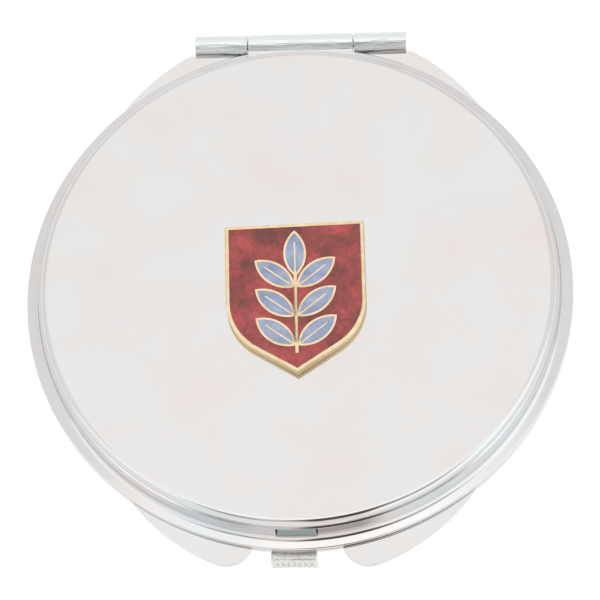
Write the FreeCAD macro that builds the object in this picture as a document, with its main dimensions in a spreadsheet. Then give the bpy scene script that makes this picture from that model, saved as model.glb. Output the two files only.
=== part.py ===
import FreeCAD, Part
import math
import os

import Sketcher

# Round compact mirror: two pressed metal halves joined by a three-knuckle hinge at the back (+Y) and
# held shut by a sprung push tab at the front (-Y).  Millimetres, +Z up, origin on the case's axis at
# the flat underside of the base.

doc = FreeCAD.newDocument("compact_mirror")
sheet = doc.addObject("Spreadsheet::Sheet", "sizes")

SIZES = [
    ("rim_radius", 35.0, "outermost radius of the lid's rim and of the base frame"),
    ("rim_width", 1.5, "radial width of the lid's rim"),
    ("rim_height", 0.75, "top of the lid's rim above the parting face"),
    ("rim_round", 0.2, "rounding of the rim's upper edge"),
    ("cove_round", 0.75, "rounding between the lid's wall and its rim"),
    ("wall_lean", 0.18, "radius that a shell's wall gains from ledge to foot"),
    ("step_lean", 0.2, "radius that the step at a shell's flat gains downwards"),
    ("step_drop", 0.8, "height of the step at a shell's flat"),
    ("step_round", 0.85, "rounding between a shell's flat and its step"),
    ("ledge_width", 0.34, "radial width of the sloping ledge between step and wall"),
    ("ledge_drop", 0.2, "fall of the ledge"),
    ("ledge_round", 0.15, "rounding at both sides of the ledge"),
    ("shell_sheet", 0.5, "sheet thickness of both shells"),
    ("lid_depth", 3.9, "lid's flat top above its parting face"),
    ("base_depth", 3.8, "base dish, from its flat underside to the frame"),
    ("base_flange", 0.6, "width of the base dish's flange under the frame"),
    ("edge_round", 0.3, "rounding of the other pressed edges"),
    ("parting_gap", 0.1, "gap between base frame and lid when closed"),
    ("base_frame_sheet", 0.7, "thickness of the base frame"),
    ("lid_frame_sheet", 0.8, "thickness of the lid frame"),
    ("frame_play", 0.25, "gap between the lid frame and the lid's wall"),
    ("mirror_margin", 5.5, "distance from the rim to the edge of either glass"),
    ("frame_lip", 0.8, "overlap of either frame on its glass"),
    ("frame_bevel", 0.3, "bevel round either frame's opening"),
    ("petal_reach", 3.6, "reach of the front petals' arc beyond the rim"),
    ("petal_radius", 26.6, "radius of the front petals' arc"),
    ("petal_side", 0.3, "centre of the petals' arc to the right of the case's axis"),
    ("petal_corner", 3.4, "rounding of the petals beside the thumb notch"),
    ("thumb_notch", 11.0, "width of the thumb notch between the petals"),
    ("wing_reach", 3.5, "reach of the back wings' arc beyond the rim"),
    ("wing_radius", 28.45, "radius of the back wings' arc"),
    ("wing_corner", 0.6, "rounding of the wings' back corners"),
    ("hinge_offset", 0.68, "hinge axis beyond the rim"),
    ("knuckle_radius", 1.45, "outside radius of the hinge barrel"),
    ("barrel_length", 27.8, "length of the three knuckles together"),
    ("centre_knuckle", 13.8, "length of the lid's knuckle"),
    ("knuckle_gap", 0.15, "end gap between two knuckles"),
    ("knuckle_root", 1.1, "hinge axis to the edge of the plate that carries a knuckle"),
    ("pin_radius", 0.55, "radius of the hinge pin"),
    ("pin_seat_play", 0.02, "radial play of the pin in the outer knuckles"),
    ("pin_running_play", 0.05, "radial play of the pin in the centre knuckle"),
    ("swing_clearance", 0.2, "room round the knuckles for the swing of the lid"),
    ("lid_glass", 1.8, "thickness of the plain mirror"),
    ("base_glass", 1.3, "thickness of the magnifying mirror"),
    ("glass_bevel", 0.2, "ground edge of the plain mirror"),
    ("mirror_curve", 600.0, "radius of curvature of the magnifying mirror"),
    ("pad_margin", 2.0, "distance from the edge of a glass to the edge of its foam pad"),
    ("catch_sheet", 0.5, "sheet thickness of the push tab"),
    ("catch_play", 0.1, "play of the push tab under the frame and in its housing"),
    ("catch_side_play", 0.2, "side play of the push tab and of its nib"),
    ("tab_width", 5.7, "width of the push tab"),
    ("tab_left", 0.5, "middle of the push tab to the left of the case's axis and of the nib"),
    ("tab_reach", 0.95, "outer face of the tab's lip beyond the rim"),
    ("lip_drop", 2.8, "height of the tab's turned-down lip"),
    ("lip_round", 0.35, "rounding of the fold above the lip"),
    ("groove_pitch", 0.7, "spacing of the grip grooves on the lip"),
    ("groove_width", 0.3, "width of one grip groove"),
    ("groove_depth", 0.12, "depth of one grip groove"),
    ("groove_count", 7, "number of grip grooves"),
    ("nib_width", 4.9, "width of the nib"),
    ("nib_setback", 0.7, "lid wall's inner foot to the outer face of the nib's stem"),
    ("nib_tip", 0.35, "height of the nib's blunt tip"),
    ("press_travel", 0.9, "inward travel of the push tab"),
    ("window_low", 1.1, "lower edge of the lid's window above the parting face"),
    ("window_height", 1.65, "height of the lid's window"),
    ("window_play", 0.15, "play of the nib above and below in the window"),
    ("housing_sheet", 0.3, "sheet thickness of the catch housing"),
    ("housing_gap", 0.3, "gap between the catch housing and the magnifying mirror"),
    ("spring_sheet", 0.2, "thickness of the bow spring"),
    ("spring_play", 0.05, "gap between the bow spring and the push tab"),
    ("badge_width", 17.75, "width of the shield badge"),
    ("badge_height", 20.5, "height of the shield badge"),
    ("badge_slope", 32.5, "slope of the shield's lower edges, in degrees"),
    ("badge_corner", 7.5, "rounding between the shield's sides and lower edges"),
    ("badge_thickness", 1.15, "thickness of the badge plate"),
    ("badge_border", 0.47, "width of the gilt border"),
    ("bond_thickness", 0.1, "thickness of the adhesive film under the badge"),
    ("bond_inset", 0.4, "adhesive film inside the edge of the badge"),
    ("badge_left", 0.1, "badge centre to the left of the case's axis"),
    ("badge_front", 2.85, "badge centre in front of the case's axis"),
    ("badge_turn", 1.7, "turn of the badge, in degrees"),
    ("enamel_depth", 0.5, "depth of the enamel cells"),
    ("wire_width", 0.28, "width of the raised wires round the enamel leaves"),
    ("stem_width", 0.4, "width of the raised stem"),
    ("stem_tail", 1.0, "stem below the lowest leaf pair"),
    ("sprig_margin", 0.5, "tip of the top leaf below the gilt border"),
    ("leaf_length", 6.4, "length of one leaf"),
    ("leaf_width", 2.9, "width of one leaf"),
    ("leaf_angle", 52.0, "angle between a side leaf and the stem, in degrees"),
    ("leaf_spacing", 4.0, "spacing of the leaf pairs along the stem"),
    ("leaf_pairs", 3, "number of leaf pairs"),
    ("top_leaf_rise", 1.5, "root of the top leaf above the highest leaf pair"),
    ("midrib_width", 0.2, "width of the raised midrib of a leaf"),
    ("midrib_length", 4.8, "length of the raised midrib of a leaf, from its root"),
]
for row, (alias, size, meaning) in enumerate(SIZES, start=1):
    sheet.set(f"A{row}", meaning)
    sheet.set(f"B{row}", str(size))
    sheet.setAlias(f"B{row}", alias)
doc.recompute()


def named(text):
    """Turn each alias in a formula into a reference to the sheet."""
    words = {alias for alias, _, _ in SIZES}
    out, word = "", ""
    for letter in text + " ":
        if letter.isalnum() or letter == "_":
            word += letter
            continue
        out += f"sizes.{word}" if word in words else word
        out += letter
        word = ""
    return out.strip()


def value(text):
    """Number that a formula of aliases gives now."""
    return float(sheet.evalExpression(text))


# Formulas that several pieces share
WALL_FOOT = "(rim_radius - rim_width)"
WALL_TOP = "(rim_radius - rim_width - wall_lean)"
STEP_FOOT = "(rim_radius - rim_width - wall_lean - ledge_width)"
FLAT = "(rim_radius - rim_width - wall_lean - ledge_width - step_lean)"
WALL_DROP = "(step_drop + ledge_drop)"
WALL_INSIDE = "(rim_radius - rim_width - shell_sheet)"
MIRROR_EDGE = "(rim_radius - mirror_margin)"
OPENING = "(rim_radius - mirror_margin - frame_lip)"
LID_LEVEL = "(base_depth + base_frame_sheet + parting_gap)"
BADGE_LEVEL = "(base_depth + base_frame_sheet + parting_gap + lid_depth)"
HINGE_Y = "(rim_radius + hinge_offset)"
HINGE_LEVEL = "(base_depth + base_frame_sheet + parting_gap / 2)"
PLATE_BACK = "(rim_radius + hinge_offset - knuckle_root)"
NIB_FRONT = "(nib_setback + shell_sheet + rim_width - rim_radius)"
NIB_BACK = "(nib_setback + shell_sheet + rim_width + catch_sheet - rim_radius)"
NIB_PRESSED = "(nib_setback + shell_sheet + rim_width + catch_sheet + press_travel - rim_radius)"


# Sketch and feature helpers

def new_body(label, level="0", side="0"):
    body = doc.addObject("PartDesign::Body", label)
    body.Label = label
    body.setExpression("Placement.Base.x", named(side))
    body.setExpression("Placement.Base.z", named(level))
    return body


def new_sketch(body, name, plane, offset="0"):
    sketch = body.newObject("Sketcher::SketchObject", name)
    sketch.AttachmentSupport = [(origin_part(body, plane), "")]
    sketch.MapMode = "FlatFace"
    sketch.setExpression("AttachmentOffset.Base.z", named(offset))
    return sketch


def origin_part(body, role):
    return next(feature for feature in body.Origin.OriginFeatures if feature.Role == role)


def bind(sketch, kind, *where, size):
    """Add one constraint whose size follows a formula."""
    index = sketch.addConstraint(Sketcher.Constraint(kind, *where, value(size)))
    sketch.setExpression(f"Constraints[{index}]", named(size))


def fix_point(sketch, curve, end, x, y):
    """Tie one point of a curve to the coordinates x and y."""
    for kind, axis, size in (("DistanceX", -2, x), ("DistanceY", -1, y)):
        if abs(value(size)) < 1e-9:
            sketch.addConstraint(Sketcher.Constraint("PointOnObject", curve, end, axis))
        elif value(size) > 0:
            bind(sketch, kind, -1, 1, curve, end, size=size)
        else:
            bind(sketch, kind, curve, end, -1, 1, size=f"-({size})")


def outline(sketch, points):
    """Draw a closed outline.  Each point is (x, y), reached by a line, or (x, y, radius, side), reached
    by an arc that bulges to the left (side 1) or right (side -1) of the way there."""
    spots = [FreeCAD.Vector(value(point[0]), value(point[1]), 0) for point in points]
    ends = []
    for here, there, point in zip(spots[-1:] + spots[:-1], spots, points):
        if len(point) == 2:
            ends.append((sketch.addGeometry(Part.LineSegment(here, there), False), 1, 2))
            continue
        radius, side = value(point[2]), point[3]
        chord = there - here
        left = FreeCAD.Vector(-chord.y, chord.x, 0).normalize()
        sag = radius - math.sqrt(radius ** 2 - (chord.Length / 2) ** 2)
        crown = (here + there) * 0.5 + left * side * sag
        curve = sketch.addGeometry(Part.Arc(here, crown, there), False)
        first = sketch.getPoint(curve, 1)
        forward = (first - here).Length < (first - there).Length
        ends.append((curve, 1, 2) if forward else (curve, 2, 1))
        bind(sketch, "Radius", curve, size=point[2])
    for (curve, start, _), (before, _, end) in zip(ends, ends[-1:] + ends[:-1]):
        sketch.addConstraint(Sketcher.Constraint("Coincident", before, end, curve, start))
    for (curve, _, end), point in zip(ends, points):
        fix_point(sketch, curve, end, point[0], point[1])
    return sketch


def box(sketch, x0, x1, y0, y1):
    return outline(sketch, [(x0, y0), (x1, y0), (x1, y1), (x0, y1)])


def circle(sketch, radius, x="0", y="0"):
    centre = FreeCAD.Vector(value(x), value(y), 0)
    curve = sketch.addGeometry(Part.Circle(centre, FreeCAD.Vector(0, 0, 1), value(radius)), False)
    bind(sketch, "Radius", curve, size=radius)
    fix_point(sketch, curve, 3, x, y)
    return sketch


def extrude(kind, sketch, length, reverse, both):
    body = sketch.getParentGeoFeatureGroup()
    feature = body.newObject("PartDesign::" + kind, f"{sketch.Name}_{kind.lower()}")
    feature.Profile = sketch
    feature.setExpression("Length", named(length))
    feature.Reversed = reverse
    feature.SideType = "Symmetric" if both else "One side"
    doc.recompute()
    return feature


def pad(sketch, length, reverse=False, both=False):
    return extrude("Pad", sketch, length, reverse, both)


def pocket(sketch, length, reverse=False, both=False):
    """Cut a sketch out of its body, and make sure that material went."""
    body = sketch.getParentGeoFeatureGroup()
    before = body.Shape.Volume
    feature = extrude("Pocket", sketch, length, reverse, both)
    if not body.Shape.Volume < before - 1e-6:
        raise RuntimeError(f"{feature.Name} cuts nothing")
    return feature


def revolve(sketch):
    body = sketch.getParentGeoFeatureGroup()
    feature = body.newObject("PartDesign::Revolution", f"{sketch.Name}_revolution")
    feature.Profile = sketch
    feature.ReferenceAxis = (sketch, ["V_Axis"])
    doc.recompute()
    return feature


def dress(body, kind, size, test):
    """Fillet or chamfer the edges whose middle point passes the test."""
    names = []
    for number, edge in enumerate(body.Shape.Edges, start=1):
        middle = edge.valueAt((edge.FirstParameter + edge.LastParameter) / 2)
        if test(edge, body.Placement.inverse().multVec(middle)):
            names.append(f"Edge{number}")
    if not names:
        raise RuntimeError(f"{body.Label} has no edge to {kind.lower()}")
    base = body.Tip
    feature = body.newObject("PartDesign::" + kind, f"{body.Name}_{kind.lower()}")
    feature.Base = (base, names)
    feature.setExpression("Radius" if kind == "Fillet" else "Size", named(size))
    doc.recompute()
    return feature


def ring_edge(radius, level):
    """Test for the round edges of one radius at one level."""
    def test(edge, middle):
        off = math.hypot(middle.x, middle.y) - value(radius)
        return abs(off) < 1e-3 and abs(middle.z - value(level)) < 1e-3
    return test


def upright_edge(x, y):
    """Test for the upright edges at plus and minus x, at one y."""
    def test(edge, middle):
        near = abs(abs(middle.x) - value(x)) < 1e-3 and abs(middle.y - value(y)) < 1e-3
        return near and edge.BoundBox.ZLength > 1e-3
    return test


def repeat(kind, feature, **settings):
    """Mirror or repeat one feature of a body."""
    body = feature.getParentGeoFeatureGroup()
    copies = body.newObject("PartDesign::" + kind, f"{feature.Name}_{kind.lower()}")
    copies.Originals = [feature]
    for setting, content in settings.items():
        setattr(copies, setting, content)
    body.Tip = copies
    doc.recompute()
    return copies


# Lid shell: pressed cup with a flat top, a step, a narrow ledge, a wall and a flat rim
lid_shell = new_body("lid_shell", LID_LEVEL)
revolve(outline(new_sketch(lid_shell, "lid_profile", "XZ_Plane"), [
    ("0", "lid_depth"),
    (FLAT, "lid_depth"),
    (STEP_FOOT, "lid_depth - step_drop"),
    (WALL_TOP, f"lid_depth - {WALL_DROP}"),
    (WALL_FOOT, "rim_height"),
    ("rim_radius", "rim_height"),
    ("rim_radius", "0"),
    (WALL_INSIDE, "0"),
    (f"{WALL_TOP} - shell_sheet", f"lid_depth - {WALL_DROP} - shell_sheet / 2"),
    (f"{FLAT} - shell_sheet", "lid_depth - shell_sheet"),
    ("0", "lid_depth - shell_sheet"),
]))
dress(lid_shell, "Fillet", "step_round", ring_edge(FLAT, "lid_depth"))
dress(lid_shell, "Fillet", "ledge_round", ring_edge(STEP_FOOT, "lid_depth - step_drop"))
dress(lid_shell, "Fillet", "ledge_round", ring_edge(WALL_TOP, f"lid_depth - {WALL_DROP}"))
dress(lid_shell, "Fillet", "cove_round", ring_edge(WALL_FOOT, "rim_height"))
dress(lid_shell, "Fillet", "rim_round", ring_edge("rim_radius", "rim_height"))
dress(lid_shell, "Fillet", "edge_round / 2", ring_edge("rim_radius", "0"))

# Window for the nib in the front of the lid's wall, and room for the hinge at the back
pocket(box(new_sketch(lid_shell, "lid_window", "XZ_Plane"),
           "-nib_width / 2 - catch_side_play", "nib_width / 2 + catch_side_play",
           "window_low", "window_low + window_height"),
       "rim_radius", reverse=True)
pocket(box(new_sketch(lid_shell, "lid_leaf_gap", "XZ_Plane"),
           "-centre_knuckle / 2 - knuckle_gap", "centre_knuckle / 2 + knuckle_gap",
           "0", "lid_frame_sheet + parting_gap"),
       HINGE_Y)
pocket(circle(new_sketch(lid_shell, "lid_barrel_gap", "YZ_Plane"),
              "knuckle_radius + swing_clearance", HINGE_Y, "-parting_gap / 2"),
       "barrel_length + 2 * swing_clearance", both=True)

# Lid frame: ring that holds the plain mirror, with a leaf to the centre knuckle
lid_frame = new_body("lid_frame", LID_LEVEL)
pad(circle(new_sketch(lid_frame, "lid_ring", "XY_Plane"), f"{WALL_INSIDE} - frame_play"),
    "lid_frame_sheet")
pad(box(new_sketch(lid_frame, "lid_leaf", "XY_Plane"),
        "-centre_knuckle / 2", "centre_knuckle / 2", MIRROR_EDGE, PLATE_BACK),
    "lid_frame_sheet")
pad(circle(new_sketch(lid_frame, "lid_knuckle", "YZ_Plane"),
           "knuckle_radius", HINGE_Y, "-parting_gap / 2"),
    "centre_knuckle", both=True)
pocket(circle(new_sketch(lid_frame, "lid_knuckle_bore", "YZ_Plane"),
              "pin_radius + pin_running_play", HINGE_Y, "-parting_gap / 2"),
       "barrel_length", both=True)
pocket(circle(new_sketch(lid_frame, "lid_opening", "XY_Plane"), OPENING), "lid_frame_sheet", reverse=True)
pocket(box(new_sketch(lid_frame, "lid_nib_gap", "XY_Plane"),
           "-nib_width / 2 - 2 * catch_side_play", "nib_width / 2 + 2 * catch_side_play",
           "-rim_radius", f"{NIB_PRESSED} + catch_side_play"),
       "lid_frame_sheet", reverse=True)
dress(lid_frame, "Chamfer", "frame_bevel", ring_edge(OPENING, "0"))

# Plain mirror glass and its foam pad, between the lid's flat and the lid frame
lid_mirror = new_body("lid_mirror", f"{LID_LEVEL} + lid_frame_sheet")
pad(circle(new_sketch(lid_mirror, "lid_glass_disc", "XY_Plane"), MIRROR_EDGE), "lid_glass")
dress(lid_mirror, "Chamfer", "glass_bevel", ring_edge(MIRROR_EDGE, "0"))

lid_mirror_pad = doc.addObject("Part::Cylinder", "lid_mirror_pad")
lid_mirror_pad.setExpression("Radius", named(f"{MIRROR_EDGE} - pad_margin"))
lid_mirror_pad.setExpression("Height", named("lid_depth - shell_sheet - lid_frame_sheet - lid_glass"))
lid_mirror_pad.setExpression("Placement.Base.z", named(f"{LID_LEVEL} + lid_frame_sheet + lid_glass"))

# Base shell: pressed dish with a small flange under the frame, slotted at the front for the tab
base_shell = new_body("base_shell")
revolve(outline(new_sketch(base_shell, "base_profile", "XZ_Plane"), [
    ("0", "0"),
    (FLAT, "0"),
    (STEP_FOOT, "step_drop"),
    (WALL_TOP, WALL_DROP),
    (WALL_FOOT, "base_depth - shell_sheet"),
    (f"{WALL_FOOT} + base_flange", "base_depth - shell_sheet"),
    (f"{WALL_FOOT} + base_flange", "base_depth"),
    (WALL_INSIDE, "base_depth"),
    (f"{WALL_TOP} - shell_sheet", f"{WALL_DROP} + shell_sheet / 2"),
    (f"{FLAT} - shell_sheet", "shell_sheet"),
    ("0", "shell_sheet"),
]))
dress(base_shell, "Fillet", "step_round", ring_edge(FLAT, "0"))
dress(base_shell, "Fillet", "ledge_round", ring_edge(STEP_FOOT, "step_drop"))
dress(base_shell, "Fillet", "ledge_round", ring_edge(WALL_TOP, WALL_DROP))
dress(base_shell, "Fillet", "edge_round", ring_edge(WALL_FOOT, "base_depth - shell_sheet"))
pocket(box(new_sketch(base_shell, "base_tab_slot", "XZ_Plane"),
           "-tab_width / 2 - catch_side_play - tab_left", "tab_width / 2 + catch_side_play - tab_left",
           "base_depth - 2 * catch_play - catch_sheet", "base_depth"),
       "rim_radius", reverse=True)

# Base frame: plate with petals, wings and the two outer knuckles, holding the magnifying mirror
base_frame = new_body("base_frame", "base_depth")
PETAL_Y = "(petal_radius - petal_reach - rim_radius)"
WING_Y = "(rim_radius + wing_reach - wing_radius)"
pad(circle(new_sketch(base_frame, "petal_disc", "XY_Plane"), "petal_radius", "petal_side", PETAL_Y),
    "base_frame_sheet")
pocket(box(new_sketch(base_frame, "thumb_notch_box", "XY_Plane"),
           "-thumb_notch / 2", "thumb_notch / 2",
           "-rim_radius - 2 * petal_reach", "petal_reach - rim_radius"),
       "base_frame_sheet", reverse=True)
for sign in "+-":
    across = f"(thumb_notch / 2 {sign} petal_side)"
    dress(base_frame, "Fillet", "petal_corner",
          upright_edge("thumb_notch / 2", f"{PETAL_Y} - sqrt(pow(petal_radius; 2) - pow({across}; 2))"))
pad(circle(new_sketch(base_frame, "wing_disc", "XY_Plane"), "wing_radius", "0", WING_Y),
    "base_frame_sheet")
pad(circle(new_sketch(base_frame, "rim_disc", "XY_Plane"), "rim_radius"), "base_frame_sheet")
pocket(box(new_sketch(base_frame, "back_edge", "XY_Plane"),
           "-rim_radius", "rim_radius", PLATE_BACK, "rim_radius + 2 * wing_reach"),
       "base_frame_sheet", reverse=True)
dress(base_frame, "Fillet", "wing_corner",
      upright_edge(f"sqrt(pow(wing_radius; 2) - pow({PLATE_BACK} - {WING_Y}; 2))", PLATE_BACK))
pocket(circle(new_sketch(base_frame, "base_opening", "XY_Plane"), OPENING), "base_frame_sheet", reverse=True)
BARREL_LEVEL = "base_frame_sheet + parting_gap / 2"
pocket(circle(new_sketch(base_frame, "base_barrel_gap", "YZ_Plane"),
              "knuckle_radius + swing_clearance", HINGE_Y, BARREL_LEVEL),
       "centre_knuckle + 2 * knuckle_gap", both=True)
outer_knuckle = pad(
    circle(new_sketch(base_frame, "outer_knuckle", "YZ_Plane", "centre_knuckle / 2 + knuckle_gap"),
           "knuckle_radius", HINGE_Y, BARREL_LEVEL),
    "barrel_length / 2 - centre_knuckle / 2 - knuckle_gap")
repeat("Mirrored", outer_knuckle, MirrorPlane=(origin_part(base_frame, "YZ_Plane"), [""]))
pocket(circle(new_sketch(base_frame, "base_knuckle_bore", "YZ_Plane"),
              "pin_radius + pin_seat_play", HINGE_Y, BARREL_LEVEL),
       "barrel_length + knuckle_gap", both=True)
pocket(box(new_sketch(base_frame, "nib_slot", "XY_Plane"),
           "-nib_width / 2 - catch_side_play", "nib_width / 2 + catch_side_play",
           f"{NIB_FRONT} - catch_side_play", f"{NIB_PRESSED} + catch_side_play"),
       "base_frame_sheet", reverse=True)
dress(base_frame, "Chamfer", "frame_bevel", ring_edge(OPENING, "base_frame_sheet"))

# Magnifying mirror: glass of even thickness bent to a shallow bowl, on a foam pad that follows it
CURVE_DEPTH = f"sqrt(pow(mirror_curve; 2) - pow({MIRROR_EDGE}; 2))"
PAD_EDGE = f"({MIRROR_EDGE} - pad_margin)"
base_mirror = new_body("base_mirror", "base_depth")
revolve(outline(new_sketch(base_mirror, "base_glass_profile", "XZ_Plane"), [
    ("0", f"{CURVE_DEPTH} - mirror_curve - base_glass"),
    (MIRROR_EDGE, "-base_glass", "mirror_curve", -1),
    (MIRROR_EDGE, "0"),
    ("0", f"{CURVE_DEPTH} - mirror_curve", "mirror_curve", 1),
]))

base_mirror_pad = new_body("base_mirror_pad", "base_depth")
revolve(outline(new_sketch(base_mirror_pad, "base_pad_profile", "XZ_Plane"), [
    ("0", "shell_sheet - base_depth"),
    (PAD_EDGE, "shell_sheet - base_depth"),
    (PAD_EDGE, f"{CURVE_DEPTH} - sqrt(pow(mirror_curve; 2) - pow({PAD_EDGE}; 2)) - base_glass"),
    ("0", f"{CURVE_DEPTH} - mirror_curve - base_glass", "mirror_curve", 1),
]))

# Hinge pin through the three knuckles
hinge_pin = doc.addObject("Part::Cylinder", "hinge_pin")
hinge_pin.Placement.Rotation = FreeCAD.Rotation(FreeCAD.Vector(0, 1, 0), 90)
hinge_pin.setExpression("Radius", named("pin_radius"))
hinge_pin.setExpression("Height", named("barrel_length"))
hinge_pin.setExpression("Placement.Base.x", named("-barrel_length / 2"))
hinge_pin.setExpression("Placement.Base.y", named(HINGE_Y))
hinge_pin.setExpression("Placement.Base.z", named(HINGE_LEVEL))

# Catch slide: push tab with a ribbed lip outside and a hooked nib that rises into the lid's window
catch_slide = new_body("catch_slide", "base_depth - catch_play", "-tab_left")
LIP_FACE = "(-rim_radius - tab_reach)"
pad(outline(new_sketch(catch_slide, "tab_profile", "YZ_Plane"), [
    (LIP_FACE, "0"),
    (LIP_FACE, "-lip_drop"),
    (f"{LIP_FACE} + catch_sheet", "-lip_drop"),
    (f"{LIP_FACE} + catch_sheet", "-catch_sheet"),
    (NIB_BACK, "-catch_sheet"),
    (NIB_BACK, "0"),
]), "tab_width", both=True)
NIB_LOW = "catch_play + base_frame_sheet + parting_gap + window_low + window_play"
NIB_HIGH = f"{NIB_LOW} + window_height - 2 * window_play"
NIB_TIP = "(rim_width + wall_lean / 2 - rim_radius)"
pad(outline(new_sketch(catch_slide, "nib_profile", "YZ_Plane", "tab_left"), [
    (NIB_BACK, "-catch_sheet"),
    (NIB_BACK, NIB_HIGH),
    (NIB_FRONT, NIB_HIGH),
    (NIB_TIP, f"{NIB_LOW} + nib_tip"),
    (NIB_TIP, NIB_LOW),
    (NIB_FRONT, NIB_LOW),
    (NIB_FRONT, "-catch_sheet"),
]), "nib_width", both=True)
dress(catch_slide, "Fillet", "lip_round",
      lambda edge, middle: abs(middle.y - value(LIP_FACE)) < 1e-3 and abs(middle.z) < 1e-3)
groove_sketch = new_sketch(catch_slide, "grip_groove", "XZ_Plane", f"-{LIP_FACE} - groove_depth")
FIRST_GROOVE = "((1 - groove_count) * groove_pitch / 2)"
grip_groove = pocket(
    box(groove_sketch, f"{FIRST_GROOVE} - groove_width / 2", f"{FIRST_GROOVE} + groove_width / 2",
        "-lip_drop", "-2 * lip_round"),
    "2 * groove_depth", reverse=True)
grip = repeat("LinearPattern", grip_groove, Direction=(groove_sketch, ["H_Axis"]))
grip.setExpression("Length", named("(groove_count - 1) * groove_pitch"))
grip.setExpression("Occurrences", named("groove_count"))
doc.recompute()

# Catch housing: tray under the base frame that guides the slide and backs the bow spring
catch_housing = new_body("catch_housing", "base_depth - 2 * catch_play - catch_sheet - housing_sheet",
                         "-tab_left")
HOUSING_BACK = "(mirror_margin - housing_gap - rim_radius)"
CHANNEL_BACK = "(mirror_margin - housing_gap - housing_sheet - rim_radius)"
CHANNEL_HALF = "(tab_width / 2 + catch_side_play)"
pad(box(new_sketch(catch_housing, "housing_block", "XY_Plane"),
        f"-{CHANNEL_HALF} - housing_sheet", f"{CHANNEL_HALF} + housing_sheet", NIB_FRONT, HOUSING_BACK),
    "housing_sheet + catch_sheet + 2 * catch_play")
pocket(box(new_sketch(catch_housing, "housing_channel", "XY_Plane", "housing_sheet"),
           f"-{CHANNEL_HALF}", CHANNEL_HALF, f"{NIB_FRONT} - housing_sheet", CHANNEL_BACK),
       "catch_sheet + 2 * catch_play", reverse=True)

# Bow spring between the housing's back wall and the slide
catch_spring = new_body("catch_spring", "base_depth - catch_play - catch_sheet", "-tab_left")
RISE = f"({CHANNEL_BACK} - {NIB_BACK} - spring_play - spring_sheet)"
BOW = f"(pow(tab_width / 2; 2) + pow({RISE}; 2)) / (2 * {RISE})"
pad(outline(new_sketch(catch_spring, "spring_bow", "XY_Plane"), [
    ("-tab_width / 2", f"{CHANNEL_BACK} - spring_sheet"),
    ("tab_width / 2", f"{CHANNEL_BACK} - spring_sheet", BOW, -1),
    ("tab_width / 2", CHANNEL_BACK),
    ("-tab_width / 2", CHANNEL_BACK, BOW, 1),
]), "catch_sheet")


# Badge: gilt shield with enamel cells ground flush with its border and wires

def shield_body(label, level, inset, thickness):
    """Shield, set in from the badge's edge by a width."""
    body = new_body(label, level, "-badge_left")
    body.Placement.Rotation = FreeCAD.Rotation(FreeCAD.Vector(0, 0, 1), 1)
    body.setExpression("Placement.Base.y", named("-badge_front"))
    body.setExpression("Placement.Rotation.Angle", named("badge_turn * 1deg"))
    half = f"(badge_width / 2 - {inset})"
    tip = f"({inset} / cos(badge_slope * 1deg) - badge_height / 2)"
    low = f"({tip} + {half} * tan(badge_slope * 1deg))"
    high = f"(badge_height / 2 - {inset})"
    pad(outline(new_sketch(body, f"{label}_outline", "XY_Plane"),
                [(f"-{half}", high), (f"-{half}", low), ("0", tip), (half, low), (half, high)]),
        thickness)
    dress(body, "Fillet", f"badge_corner - {inset}", upright_edge(half, low))
    return body


TOP_ROOT = "(badge_height / 2 - badge_border - sprig_margin - leaf_length)"
LEAF_BOW = "((pow(leaf_length; 2) + pow(leaf_width; 2)) / (4 * leaf_width))"


def leaf_places():
    """Root x, root y and angle of each leaf: one at the top of the stem, and pairs rooted inside its sides."""
    yield "0", TOP_ROOT, "0"
    for pair in range(round(value("leaf_pairs"))):
        root = f"({TOP_ROOT} - top_leaf_rise - {pair} * leaf_spacing)"
        yield "(stem_width / 4)", root, "leaf_angle"
        yield "(-stem_width / 4)", root, "(-leaf_angle)"


def on_leaf(place, along, across):
    """Point of a leaf, from its root along its midrib and across to the right."""
    root_x, root_y, angle = place
    sine, cosine = f"sin({angle} * 1deg)", f"cos({angle} * 1deg)"
    x = f"{root_x} + {along} * {sine} + {across} * {cosine}"
    y = f"{root_y} + {along} * {cosine} - {across} * {sine}"
    return x, y


def draw_leaves(sketch, inset):
    """Leaf outlines: two equal arcs from root to tip, set in by a width."""
    half = f"sqrt(pow({LEAF_BOW} - {inset}; 2) - pow({LEAF_BOW} - leaf_width / 2; 2))"
    for place in leaf_places():
        root = on_leaf(place, f"(leaf_length / 2 - {half})", "0")
        tip = on_leaf(place, f"(leaf_length / 2 + {half})", "0")
        outline(sketch, [(*root, f"{LEAF_BOW} - {inset}", 1), (*tip, f"{LEAF_BOW} - {inset}", 1)])
    return sketch


def draw_midribs(sketch):
    for place in leaf_places():
        outline(sketch, [on_leaf(place, along, across) for along, across in (
            ("0", "(-midrib_width / 2)"), ("0", "(midrib_width / 2)"),
            ("midrib_length", "(midrib_width / 2)"), ("midrib_length", "(-midrib_width / 2)"))])
    return sketch


badge_bond = shield_body("badge_bond", BADGE_LEVEL, "bond_inset", "bond_thickness")
badge_blank = shield_body("badge_blank", f"{BADGE_LEVEL} + bond_thickness", "0", "badge_thickness")
ENAMEL_LEVEL = f"{BADGE_LEVEL} + bond_thickness + badge_thickness - enamel_depth"
STEM_LOW = f"({TOP_ROOT} - top_leaf_rise - (leaf_pairs - 1) * leaf_spacing - stem_tail)"

red_enamel = shield_body("badge_red_enamel", ENAMEL_LEVEL, "badge_border", "enamel_depth")
pocket(draw_leaves(new_sketch(red_enamel, "leaf_cells", "XY_Plane"), "0"), "enamel_depth", reverse=True)
pocket(box(new_sketch(red_enamel, "stem", "XY_Plane"),
           "-stem_width / 2", "stem_width / 2", STEM_LOW, f"{TOP_ROOT} + stem_width"),
       "enamel_depth", reverse=True)

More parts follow.
